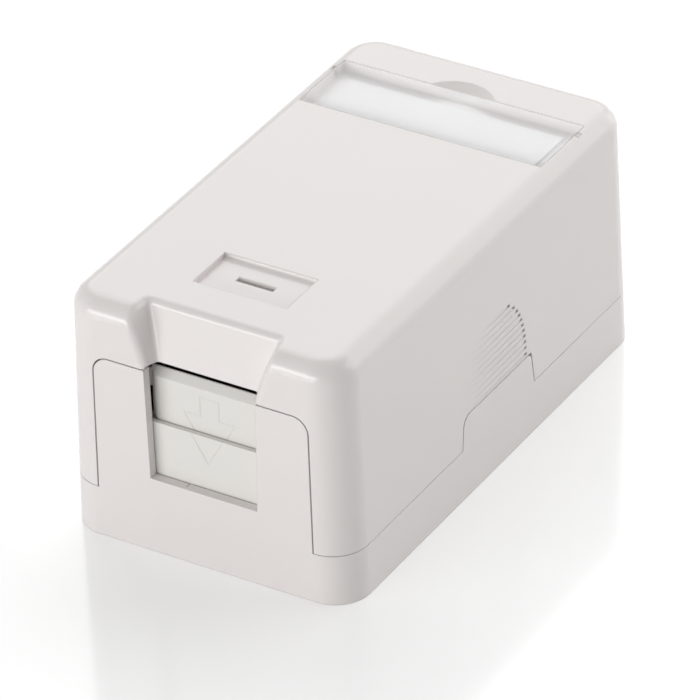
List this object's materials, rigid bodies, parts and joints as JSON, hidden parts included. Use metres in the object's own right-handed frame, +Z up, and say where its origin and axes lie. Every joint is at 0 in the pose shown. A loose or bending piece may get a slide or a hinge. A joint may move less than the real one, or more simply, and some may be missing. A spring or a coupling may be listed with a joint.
{
  "type": "surface mount jack box",
  "caption": "Surface mount data jack box: tray base with a sliding two-leaf shutter, lift-off cover with label window, and a snap-in jack.",
  "frame": {"origin": "centre of the box's outline on its flat mounting surface", "axes": "+X to the right seen from the port side, +Y from the port towards the rear, +Z up from the mounting surface to the label window"},
  "size_m": [0.0384, 0.069, 0.0321],
  "materials": {
    "shell_white": "warm white moulded ABS, satin gloss",
    "leaf_white": "slightly greener white moulded ABS, satin",
    "clear_plastic": "clear polycarbonate, polished",
    "card_white": "matt white card",
    "jack_plastic": "black moulded polycarbonate",
    "insert_plastic": "dark grey moulded plastic",
    "gold_plate": "gold-plated phosphor bronze",
    "board_laminate": "green glass-epoxy board",
    "tinned_bronze": "tin-plated phosphor bronze",
    "cap_plastic": "translucent white cap plastic",
    "pad_foam": "white acrylic foam tape",
    "liner_paper": "waxed release paper"
  },
  "bodies": {
    "base": {"base": "shell_white", "jack_housing": "jack_plastic", "contact_insert": "insert_plastic", "jack_contacts": "gold_plate", "jack_board": "board_laminate", "terminal_block": "jack_plastic", "terminal_contacts_right": "tinned_bronze", "terminal_contacts_left": "tinned_bronze", "terminal_cap_right": "cap_plastic", "terminal_cap_left": "cap_plastic", "adhesive_pad_right": "pad_foam", "adhesive_pad_left": "pad_foam", "pad_liner_right": "liner_paper", "pad_liner_left": "liner_paper"},
    "lower_leaf": {"shutter_lower_leaf": "leaf_white"},
    "upper_leaf": {"shutter_upper_leaf": "leaf_white"},
    "cover": {"cover": "shell_white", "label_card": "card_white"},
    "window": {"label_window": "clear_plastic"}
  },
  "joints": [
    {"name": "lower_leaf_slide", "type": "slide", "parent": "base", "child": "lower_leaf", "axis": [0, 0, -1], "range_m": [0, 0.00712]},
    {"name": "upper_leaf_slide", "type": "slide", "parent": "lower_leaf", "child": "upper_leaf", "axis": [0, 0, -1], "range_m": [0, 0.00675]},
    {"name": "cover_lift", "type": "slide", "parent": "base", "child": "cover", "axis": [0, 0, 1], "range_m": [0, 0.035]},
    {"name": "window_lift", "type": "slide", "parent": "cover", "child": "window", "axis": [0, 0, 1], "range_m": [0, 0.006]}
  ]
}
